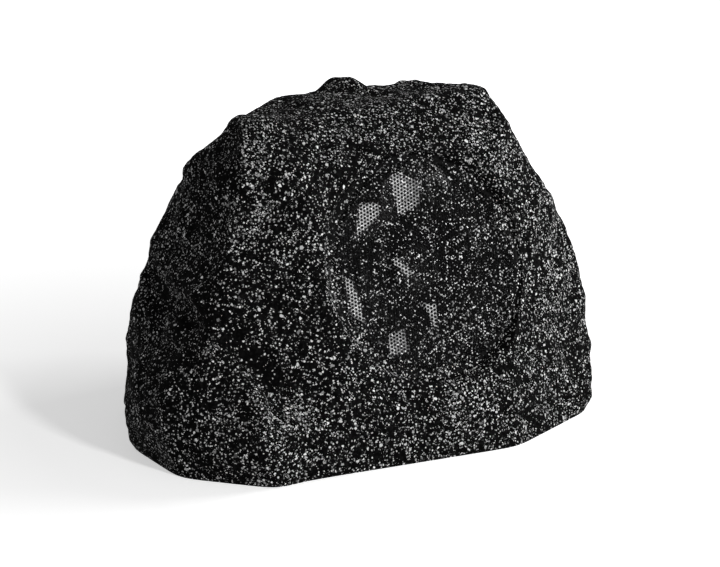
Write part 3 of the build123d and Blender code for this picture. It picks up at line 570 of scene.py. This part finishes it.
def fill_facet(points, segments, normal, step):
    """Even triangles over one flat facet, between the points of its outline."""
    ids = sorted({i for pair in segments for i in pair})
    order = {i: k for k, i in enumerate(ids)}
    side = normal.orthogonal().normalized()
    over = normal.cross(side)
    flat = np.array([(points[i].dot(side), points[i].dot(over)) for i in ids]) / step
    level = sum(points[i].dot(normal) for i in ids) / len(ids)
    pairs = [(order[a], order[b]) for a, b in segments]
    starts, ends = (flat[[pair[k] for pair in pairs]] for k in (0, 1))
    low, high = flat.min(0), flat.max(0)
    row_step = math.sqrt(3) / 2
    rows = range(int((high[1] - low[1]) / row_step) + 2)
    columns = np.arange(int(high[0] - low[0]) + 2)
    grid = np.vstack([np.column_stack((low[0] + columns + 0.5 * (row % 2),
                                       np.full(len(columns), low[1] + row * row_step))) for row in rows])
    grid = grid[inside(grid, starts, ends)]
    if len(grid):
        grid = grid[clear_of(grid, starts, ends) > EDGE_CLEARANCE]
    every = np.vstack((flat, grid))
    made = delaunay_2d_cdt([Vector(p) for p in every], pairs, [], 0, FLAT_JOIN)
    source = np.array([origin[0] for origin in made[3]])
    triangles = source[np.array(made[2])]
    a, b, c = (every[triangles[:, k]] for k in range(3))
    twice = (b - a)[:, 0] * (c - a)[:, 1] - (b - a)[:, 1] * (c - a)[:, 0]
    triangles = triangles[(twice > SLIVER) & inside(every[triangles].mean(1), starts, ends)]
    start = len(points)
    points.extend((side * x + over * y) * step + normal * level for x, y in grid)
    number = np.array(ids + list(range(start, start + len(grid))))
    return number[triangles].tolist()


def stone_surface(step):
    """The shell with its outer facets laid out in even triangles, and which points are on them."""
    shell = bmesh.new()
    shell.from_mesh(NODES["rock_shell"].data)
    bmesh.ops.remove_doubles(shell, verts=shell.verts, dist=POINT_JOIN)
    shell.verts.index_update()
    shell.edges.index_update()
    edge_faces = {face for face in shell.faces if is_edge_face(face)}
    top = max(shell.faces, key=lambda face: face.calc_center_median().z)
    outer = flood(top, lambda face, other: other not in edge_faces)
    points = [vert.co.copy() for vert in shell.verts]
    cuts = {}

    def cut(edge):
        """The points along an edge, a step apart."""
        if edge.index not in cuts:
            first, last = sorted(edge.verts, key=lambda vert: vert.index)
            parts = max(1, round(edge.calc_length() / step))
            between = list(range(len(points), len(points) + parts - 1))
            points.extend(first.co.lerp(last.co, i / parts) for i in range(1, parts))
            cuts[edge.index] = [first.index, *between, last.index]
        return cuts[edge.index]

    faces = []
    left = set(outer)
    while left:
        start = max(left, key=lambda face: face.calc_area())
        flat = flood(start, lambda face, other: (other in left
                                                 and other.normal.dot(start.normal) > FLAT_COSINE))
        left -= flat
        rim = [e for face in flat for e in face.edges if sum(f in flat for f in e.link_faces) == 1]
        segments = [pair for edge in rim for pair in zip(cut(edge), cut(edge)[1:])]
        faces += fill_facet(points, segments, start.normal, step)
    outer_count = len(faces)
    pinned = set()
    for face in shell.faces:
        if face in outer:
            continue
        ring = []
        for loop in face.loops:
            ids = cuts.get(loop.edge.index, [loop.vert.index, loop.link_loop_next.vert.index])
            ids = ids if ids[0] == loop.vert.index else ids[::-1]
            ring += ids[:-1]
        faces.append(ring)
        pinned.update(ring)
    shell.free()
    places = np.array([tuple(point) for point in points])
    on_outer = np.zeros(len(places), bool)
    on_outer[[i for face in faces[:outer_count] for i in face]] = True
    on_edge = np.zeros(len(places), bool)
    on_edge[list(pinned)] = True
    return places, faces, outer_count, on_outer, on_edge & on_outer


def neighbours_mean(places, pairs, count):
    """The middle of each point's neighbours."""
    a, b = pairs.T
    total = np.stack([np.bincount(a, places[b, k], len(places)) + np.bincount(b, places[a, k], len(places))
                      for k in range(3)], 1)
    return total / np.maximum(count, 1)[:, None]


def wear_edges(places, faces, outer_count, free, ground, turns):
    """Rounds the edges between facets, and the corners of the rim on the ground."""
    rows = np.array(faces[:outer_count])
    pairs = np.unique(np.sort(np.vstack((rows[:, :2], rows[:, 1:], rows[:, ::2])), axis=1), axis=0)
    rim = pairs[ground[pairs].all(1)]
    for run, moved, times in ((rim, ground, RIM_WEAR * turns), (pairs, free, turns)):
        count = np.bincount(run.ravel(), minlength=len(places))
        share = (0.5 * moved)[:, None]
        for _ in range(times):
            places += share * (neighbours_mean(places, run, count) - places)
    return places


def worked_forms(places):
    """Height of the worked strokes at each point."""
    rise = np.zeros(len(places))
    for start, end, radius, height in STONE_FORMS:
        first, run = np.array(start) * MM, (np.array(end) - np.array(start)) * MM
        along = np.clip((places - first) @ run / max(run @ run, NOT_ZERO), 0, 1)
        away = np.linalg.norm(places - first - along[:, None] * run, axis=1) / (radius * MM)
        rise += height * MM * np.exp(-away ** 2)
    return rise


def edge_fade(places, edges, reach, start):
    """Zero at the given edge points, rising to one at the reach from them."""
    tree = kdtree.KDTree(int(edges.sum()))
    for index, place in enumerate(places[edges]):
        tree.insert(place, index)
    tree.balance()
    away = np.array([tree.find(place)[2] for place in places])
    return eased(np.clip((away - start) / reach, 0, 1))


def relief_tree():
    """Geometry Nodes that raise slow swells, lumps and grain out of the stone."""
    tree, given, result = node_group("stone_relief", {
        "Swell": "Float", "Swell size": "Float", "Lump": "Float", "Lump size": "Float",
        "Grain": "Float", "Grain size": "Float", "Seed": "Float", "Depth": "Float", "Finish": "Material"})
    place = add(tree, "GeometryNodeInputPosition").outputs[0]
    rise = None
    for label, detail, shift in (("Swell", 1.0, 0.0), ("Lump", 2.0, 10.0), ("Grain", 2.0, 20.0)):
        scale = maths(tree, "DIVIDE", 1.0, given.outputs[label + " size"])
        seed = maths(tree, "ADD", given.outputs["Seed"], shift)
        inputs = {"Vector": place, "W": seed, "Scale": scale, "Detail": detail}
        waves = add(tree, "ShaderNodeTexNoise", inputs, noise_dimensions="4D").outputs[0]
        part = maths(tree, "MULTIPLY", maths(tree, "MULTIPLY_ADD", waves, 2.0, -1.0), given.outputs[label])
        rise = part if rise is None else maths(tree, "ADD", rise, part)
    form, hold = (add(tree, "GeometryNodeInputNamedAttribute", {"Name": name}, data_type="FLOAT").outputs[0]
                  for name in ("form", "hold"))
    rise = maths(tree, "MULTIPLY", maths(tree, "ADD", rise, form), hold)
    floor = maths(tree, "MULTIPLY", given.outputs["Depth"], -1.0)
    rise = maths(tree, "SMOOTH_MAX", rise, floor, DEPTH_SOFTNESS)
    offset = add(tree, "ShaderNodeVectorMath", {0: add(tree, "GeometryNodeInputNormal").outputs[0],
                                                "Scale": rise}, operation="SCALE").outputs[0]
    moved = add(tree, "GeometryNodeSetPosition", {"Geometry": given.outputs["Geometry"], "Offset": offset})
    real = add(tree, "GeometryNodeRealizeInstances", {0: moved.outputs[0]})
    done = add(tree, "GeometryNodeSetMaterial", {"Geometry": real.outputs[0],
                                                 "Material": given.outputs["Finish"]})
    tree.links.new(done.outputs[0], result.inputs[0])
    return tree


def shade_by_angle(mesh, limit):
    """Smooth faces with sharp edges where the surface turns by more than the limit."""
    mesh.shade_smooth()
    work = bmesh.new()
    work.from_mesh(mesh)
    for edge in work.edges:
        edge.smooth = len(edge.link_faces) == 2 and edge.calc_face_angle(0.0) < limit
    work.to_mesh(mesh)
    work.free()


class ROCK_OT_stone(bpy.types.Operator):
    """Makes the cast stone body with its relief"""
    bl_idname = "rock.stone"
    bl_label = "Cast Stone"

    def execute(self, context):
        settings = context.scene.rock_stone
        places, faces, outer_count, on_outer, on_edge = stone_surface(settings.step)
        ground = on_edge & (places[:, 2] < GROUND_LEVEL)
        held = on_edge & ~ground
        places = wear_edges(places, faces, outer_count, on_outer & ~on_edge, ground, settings.wear)
        hold = edge_fade(places, held, RECESS_FADE, RECESS_HELD) * on_outer
        hold *= edge_fade(places, ground, GROUND_FADE, 0.0)
        skin = new_object("rock_skin", places, faces)
        for name, values in (("form", worked_forms(places)), ("hold", hold)):
            stored = skin.data.attributes.new(name, "FLOAT", "POINT")
            stored.data.foreach_set("value", values.astype(np.float32))
        # The stone's flecks are crowded and thinned in given places as painted highlight and painted shade
        finish = granite("granite_cast", settings, roughness=0.80, gloss=0.012, bump=0.5,
                         painted_light_patches=PAINTED_LIGHT_SPRAY_PATCHES)
        grow(skin, relief_tree(), {
            "Swell": settings.swell, "Swell size": settings.swell_size, "Lump": settings.lump,
            "Lump size": settings.lump_size, "Grain": settings.grain, "Grain size": settings.grain_size,
            "Seed": settings.seed, "Depth": settings.depth, "Finish": finish})
        for name in ("form", "hold"):
            skin.data.attributes.remove(skin.data.attributes[name])
        shade_by_angle(skin.data, STONE_CREASE)
        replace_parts(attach(skin, "cabinet"), "rock_shell")
        return {"FINISHED"}


# The grille


def flange_level(radius):
    """Height of the grille's sloping flange over its outer edge."""
    return FLANGE_RISE * (GRILLE_EDGE_RADIUS - radius) / (GRILLE_EDGE_RADIUS - GRILLE_FOLD_RADIUS)


def polygon_corner(radius, step, sides):
    """A corner of an even polygon."""
    turn = 2 * math.pi * step / sides
    return radius * math.cos(turn), radius * math.sin(turn)


def stamped_form():
    """The grille's stamped surface, without holes, in the driver's plane."""
    corners, folds = [], []
    for plate in STAMP_PLATES:
        start = len(corners)
        corners += plate
        folds += [(start + k, start + (k + 1) % len(plate)) for k in range(len(plate))]
    corners += STAMP_CORNERS
    for radius in (GRILLE_FOLD_RADIUS, FORM_RADIUS):
        level = flange_level(radius) / MM
        corners += [(*polygon_corner(radius / MM, k, FORM_SIDES), level) for k in range(FORM_SIDES)]
    made = delaunay_2d_cdt([Vector(spot[:2]) for spot in corners], folds, [], 0, FLAT_JOIN)
    points = [[value * MM for value in corners[source[0]]] for source in made[3]]
    return new_object("stamped_form", points, made[2])


def sheet_cell(name, settings, holed):
    """One six-sided cell of the sheet, with a round hole or without, that joins up with its neighbours."""
    span = settings.pitch / math.sqrt(3)
    levels = (0.0, settings.sheet)
    points = [(*polygon_corner(span, k, 6), z) for z in levels for k in range(6)]
    if not holed:
        return new_object(name, points, [tuple(range(5, -1, -1)), tuple(range(6, 12))])
    points += [(*polygon_corner(settings.hole / 2, k, 12), z) for z in levels for k in range(12)]
    # Points 0 to 11 are the cell's corners and 12 to 35 the hole's, each below and then above
    faces = []
    for k in range(6):
        after = (k + 1) % 6
        inner = [2 * k, 2 * k + 1, (2 * k + 2) % 12]
        faces.append((after, k, *(12 + i for i in inner)))
        faces.append((6 + k, 6 + after, *(24 + i for i in reversed(inner))))
    for k in range(12):
        after = (k + 1) % 12
        faces.append((12 + after, 12 + k, 24 + k, 24 + after))
    return new_object(name, points, faces)


def perforation_tree():
    """Geometry Nodes that lay cells on a six-sided lattice and press them into the stamped form."""
    tree, given, result = node_group("grille_perforation", {
        "Pitch": "Float", "Turn": "Float", "Holed field": "Float", "Blank field": "Float",
        "Columns": "Int", "Rows": "Int", "Bend": "Int", "Holed cell": "Object", "Blank cell": "Object",
        "Stamped form": "Object", "Finish": "Material"})
    out = given.outputs
    index = add(tree, "GeometryNodeInputIndex").outputs[0]
    column = maths(tree, "FLOOR", maths(tree, "DIVIDE", index, out["Rows"]))
    row = maths(tree, "FLOORED_MODULO", index, out["Rows"])
    odd = maths(tree, "FLOORED_MODULO", column, 2.0)
    across = maths(tree, "SUBTRACT", column, maths(tree, "DIVIDE", out["Columns"], 2.0))
    x = maths(tree, "MULTIPLY", maths(tree, "MULTIPLY", across, math.sqrt(3) / 2), out["Pitch"])
    up = maths(tree, "SUBTRACT", row, maths(tree, "DIVIDE", out["Rows"], 2.0))
    y = maths(tree, "MULTIPLY", maths(tree, "MULTIPLY_ADD", odd, 0.5, up), out["Pitch"])
    spot = add(tree, "ShaderNodeCombineXYZ", {0: x, 1: y}).outputs[0]
    total = maths(tree, "MULTIPLY", out["Columns"], out["Rows"])
    lattice = add(tree, "GeometryNodePoints", {"Count": total, "Position": spot}).outputs[0]
    place = add(tree, "GeometryNodeInputPosition").outputs[0]
    radius = add(tree, "ShaderNodeVectorMath", {0: place}, operation="LENGTH").outputs["Value"]
    far = maths(tree, "GREATER_THAN", radius, out["Blank field"])
    kept = add(tree, "GeometryNodeDeleteGeometry", {"Geometry": lattice, "Selection": far},
               domain="POINT").outputs[0]
    holed = maths(tree, "LESS_THAN", radius, out["Holed field"])
    both = tree.nodes.new("GeometryNodeJoinGeometry")
    for label, chosen in (("Holed cell", holed), ("Blank cell", maths(tree, "SUBTRACT", 1.0, holed))):
        cell = add(tree, "GeometryNodeObjectInfo", {"Object": out[label]}, transform_space="ORIGINAL")
        laid = add(tree, "GeometryNodeInstanceOnPoints", {"Points": kept, "Selection": chosen,
                                                          "Instance": cell.outputs["Geometry"]})
        tree.links.new(laid.outputs[0], both.inputs[0])
    real = add(tree, "GeometryNodeRealizeInstances", {0: both.outputs[0]}).outputs[0]
    sheet = add(tree, "GeometryNodeMergeByDistance", {"Geometry": real, "Distance": CELL_JOIN}).outputs[0]
    turn = add(tree, "ShaderNodeCombineXYZ", {2: out["Turn"]}).outputs[0]
    turned = add(tree, "GeometryNodeTransform", {"Geometry": sheet, "Rotation": turn}).outputs[0]
    form = add(tree, "GeometryNodeObjectInfo", {"Object": out["Stamped form"]}, transform_space="ORIGINAL")
    below = add(tree, "ShaderNodeVectorMath", {0: place, 1: (1.0, 1.0, 0.0), 2: (0.0, 0.0, RAY_START)},
                operation="MULTIPLY_ADD").outputs[0]
    press = add(tree, "GeometryNodeRaycast", {"Target Geometry": form.outputs["Geometry"],
                                              "Source Position": below, "Ray Direction": (0.0, 0.0, 1.0),
                                              "Ray Length": RAY_LENGTH})
    level = add(tree, "ShaderNodeSeparateXYZ", {0: press.outputs["Hit Position"]}).outputs[2]
    rounded = add(tree, "GeometryNodeBlurAttribute", {0: level, "Iterations": out["Bend"]}, data_type="FLOAT")
    lift = add(tree, "ShaderNodeCombineXYZ", {2: rounded.outputs[0]}).outputs[0]
    pressed = add(tree, "GeometryNodeSetPosition", {"Geometry": turned, "Offset": lift})
    done = add(tree, "GeometryNodeSetMaterial", {"Geometry": pressed.outputs[0], "Material": out["Finish"]})
    tree.links.new(done.outputs[0], result.inputs[0])
    return tree


def hem_ring(inner, outer, bottom, top, sides):
    """The folded edge of the sheet: a ring with a rounded outer edge."""
    soft = (top - bottom) * HEM_ROUND
    rise = flange_level(inner)
    profile = ((inner, bottom + rise), (outer - soft, bottom), (outer, bottom + soft), (outer, top - soft),
               (outer - soft, top), (inner, top + rise))
    points = [(*polygon_corner(radius, k, sides), z) for k in range(sides) for radius, z in profile]
    count = len(profile)
    faces = []
    for k in range(sides):
        for i in range(count):
            here, there = k * count, (k + 1) % sides * count
            after = (i + 1) % count
            faces.append((here + i, there + i, there + after, here + after))
    return points, faces


class ROCK_OT_grille(bpy.types.Operator):
    """Makes the stamped, perforated grille"""
    bl_idname = "rock.grille"
    bl_label = "Perforated Grille"

    def execute(self, context):
        settings = context.scene.rock_grille
        finish = granite("grille_spray", context.scene.rock_stone, roughness=0.16, gloss=0.05, bump=0.03,
                         tone=1.1)
        blank = settings.holed + BLANK_MARGIN
        form = stamped_form()
        holed_cell = sheet_cell("holed_cell", settings, True)
        blank_cell = sheet_cell("blank_cell", settings, False)
        grille = new_object("grille_sheet", [(0, 0, 0)], [])
        grow(grille, perforation_tree(), {
            "Pitch": settings.pitch, "Turn": settings.turn, "Bend": settings.bend,
            "Holed field": settings.holed, "Blank field": blank,
            "Columns": 2 * math.ceil(blank / settings.pitch / math.sqrt(3) * 2),
            "Rows": 2 * math.ceil(blank / settings.pitch) + 2,
            "Holed cell": holed_cell, "Blank cell": blank_cell, "Stamped form": form, "Finish": finish})
        for helper in (form, holed_cell, blank_cell):
            drop(helper)
        points, faces = hem_ring(settings.holed + HEM_MARGIN, GRILLE_EDGE_RADIUS, -HEM_SKIN,
                                 settings.sheet + HEM_SKIN, HEM_SIDES)
        ring = new_object("grille_hem", points, faces)
        work = bmesh.new()
        work.from_mesh(grille.data)
        bmesh.ops.bridge_loops(work, edges=[edge for edge in work.edges if edge.is_boundary])
        work.from_mesh(ring.data)
        bmesh.ops.recalc_face_normals(work, faces=work.faces)
        for face in work.faces:
            face.material_index = 0
        work.to_mesh(grille.data)
        work.free()
        drop(ring)
        grille.data.materials.clear()
        grille.data.materials.append(finish)
        grille.data.transform(DRIVER @ Matrix.Translation((0, 0, GRILLE_LEVEL)))
        shade_by_angle(grille.data, GRILLE_CREASE)
        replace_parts(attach(grille, "cabinet"), "grille")
        return {"FINISHED"}


# The parts that flex with the cone


class ROCK_OT_suspension(bpy.types.Operator):
    """Makes copies of the rubber roll and the spider with their own finishes, in place of the solids"""
    bl_idname = "rock.suspension"
    bl_label = "Suspension"

    def execute(self, context):
        for node, slot, name in (("woofer_surround", "rubber_roll", "surround_roll"),
                                 ("woofer_spider", "spider_cloth", "spider_disc")):
            piece = bpy.data.objects.new(name, NODES[node].data.copy())
            context.scene.collection.objects.link(piece)
            piece.data.materials.clear()
            piece.data.materials.append(moulded(slot + "_flexing", *FINISHES[slot]))
            middle = DRIVER.translation
            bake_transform(piece)
            local = (points_of(piece.data) - np.array(middle)) @ np.array(DRIVER.to_3x3())
            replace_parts(piece, node)
        return {"FINISHED"}


class ROCK_OT_finishes(bpy.types.Operator):
    """Gives the inner pieces, the base and the cable gland their finishes"""
    bl_idname = "rock.finishes"
    bl_label = "Finishes"

    def execute(self, context):
        made = {slot: moulded(slot, *values) for slot, values in FINISHES.items()}
        for row in frame["record"]["subparts"]:
            if row["material_slot"] in made:
                mesh = NODES[row["node"]].data
                mesh.materials.clear()
                mesh.materials.append(made[row["material_slot"]])
        return {"FINISHED"}


# The stage


def white_to_camera(tree, light, white):
    """Mixes in plain white for what the camera, reflections and glass see."""
    path = add(tree, "ShaderNodeLightPath")
    seen = maths(tree, "MAXIMUM", path.outputs["Is Camera Ray"], path.outputs["Is Glossy Ray"])
    seen = maths(tree, "MAXIMUM", seen, path.outputs["Is Transmission Ray"])
    return add(tree, "ShaderNodeMixShader", {0: seen, 1: light, 2: white}).outputs[0]


def direction(turn, lift):
    """Direction towards a bearing from the front and a height over the horizon."""
    return Vector((math.sin(turn) * math.cos(lift), -math.cos(turn) * math.cos(lift), math.sin(lift)))


def look_at(obj, aim, turn, lift, away):
    """Puts a light or camera at a distance from the aim, in the direction given, and turns it to the aim."""
    back = direction(turn, lift)
    obj.location = aim + back * away
    obj.rotation_mode = "QUATERNION"
    obj.rotation_quaternion = (-back).to_track_quat("-Z", "Y")
    bpy.context.scene.collection.objects.link(obj)


def soft_light(name, aim, turn, lift, away, size, power):
    """A square soft light that looks at the aim."""
    lamp = bpy.data.lights.new(name, "AREA")
    lamp.energy = power
    lamp.shape = "SQUARE"
    lamp.size = size
    look_at(bpy.data.objects.new(name, lamp), aim, math.radians(turn), math.radians(lift), away)


def floor_finish(colour):
    """A pale matt floor that keeps the shadow and turns white away from the speaker."""
    material, tree, shader, place = new_material("pale_floor")
    tree.nodes.remove(shader)
    tone = mixed(tree, noise(tree, place, FLOOR_MOTTLE), colour, FLOOR_PALE)
    matt = add(tree, "ShaderNodeBsdfDiffuse", {"Color": tone}).outputs[0]
    away = add(tree, "ShaderNodeVectorMath", {0: place}, operation="LENGTH").outputs["Value"]
    shine = ranged(tree, away, *FLOOR_FADE, FLOOR_SHINE, 1.0)
    glow = add(tree, "ShaderNodeEmission", {"Color": WHITE, "Strength": shine}).outputs[0]
    lit = add(tree, "ShaderNodeAddShader", {0: matt, 1: glow}).outputs[0]
    shown = white_to_camera(tree, matt, lit)
    tree.links.new(shown, tree.nodes["Material Output"].inputs["Surface"])
    return material


def studio_world():
    """Soft light from all sides, and plain white where the world itself is seen."""
    world = bpy.data.worlds.new("studio")
    world.use_nodes = True
    tree = world.node_tree
    soft = add(tree, "ShaderNodeBackground", {"Color": WHITE, "Strength": WORLD_LIGHT}).outputs[0]
    white = add(tree, "ShaderNodeBackground", {"Color": WHITE, "Strength": 1.0}).outputs[0]
    seen = white_to_camera(tree, soft, white)
    tree.links.new(seen, tree.nodes["World Output"].inputs["Surface"])
    return world


class ROCK_OT_stage(bpy.types.Operator):
    """Makes the floor, the light and the camera"""
    bl_idname = "rock.stage"
    bl_label = "Stage"

    def execute(self, context):
        scene = context.scene
        settings = scene.rock_stage
        aim = Vector(settings.aim)
        corners = [(x * FLOOR_HALF, y * FLOOR_HALF, 0) for x, y in ((-1, -1), (1, -1), (1, 1), (-1, 1))]
        floor = new_object("floor", corners, [(0, 1, 2, 3)])
        floor.data.materials.append(floor_finish(settings.floor))
        scene.world = studio_world()
        soft_light("front_light", aim, *FRONT_LIGHT, settings.key)
        soft_light("right_light", aim, *RIGHT_LIGHT, settings.side)
        lens = bpy.data.cameras.new("camera")
        lens.sensor_width = SENSOR_WIDTH
        lens.lens = SENSOR_WIDTH * settings.away / settings.width
        camera = bpy.data.objects.new("camera", lens)
        look_at(camera, aim, settings.turn, settings.lift, settings.away)
        scene.camera = camera
        scene.view_settings.view_transform = "Standard"
        return {"FINISHED"}


class ROCK_PT_sidebar(bpy.types.Panel):
    """Lists the steps that dress the speaker"""
    bl_idname = "ROCK_PT_sidebar"
    bl_label = "Rock Speaker"
    bl_space_type = "VIEW_3D"
    bl_region_type = "UI"
    bl_category = "Rock Speaker"

    def draw(self, context):
        for settings in (context.scene.rock_stone, context.scene.rock_grille, context.scene.rock_stage):
            box = self.layout.box()
            for name in settings.__annotations__:
                box.prop(settings, name)
        for operator in OPERATORS:
            self.layout.operator(operator.bl_idname)


SETTINGS = {"rock_stone": StoneSettings, "rock_grille": GrilleSettings, "rock_stage": StageSettings}
OPERATORS = (ROCK_OT_stage, ROCK_OT_stone, ROCK_OT_grille, ROCK_OT_suspension, ROCK_OT_finishes)


def register():
    """Makes the settings, operators and panel known to Blender."""
    for kind in (*SETTINGS.values(), *OPERATORS, ROCK_PT_sidebar):
        bpy.utils.register_class(kind)
    for name, kind in SETTINGS.items():
        setattr(bpy.types.Scene, name, PointerProperty(type=kind))


def unregister():
    """Takes the settings, operators and panel back out."""
    for name in SETTINGS:
        delattr(bpy.types.Scene, name)
    for kind in (ROCK_PT_sidebar, *reversed(OPERATORS), *SETTINGS.values()):
        bpy.utils.unregister_class(kind)


def main():
    """Dresses the speaker."""
    register()
    bpy.ops.rock.stage()
    bpy.ops.rock.stone()
    bpy.ops.rock.grille()
    bpy.ops.rock.suspension()
    bpy.ops.rock.finishes()


if __name__ == "__main__":
    main()
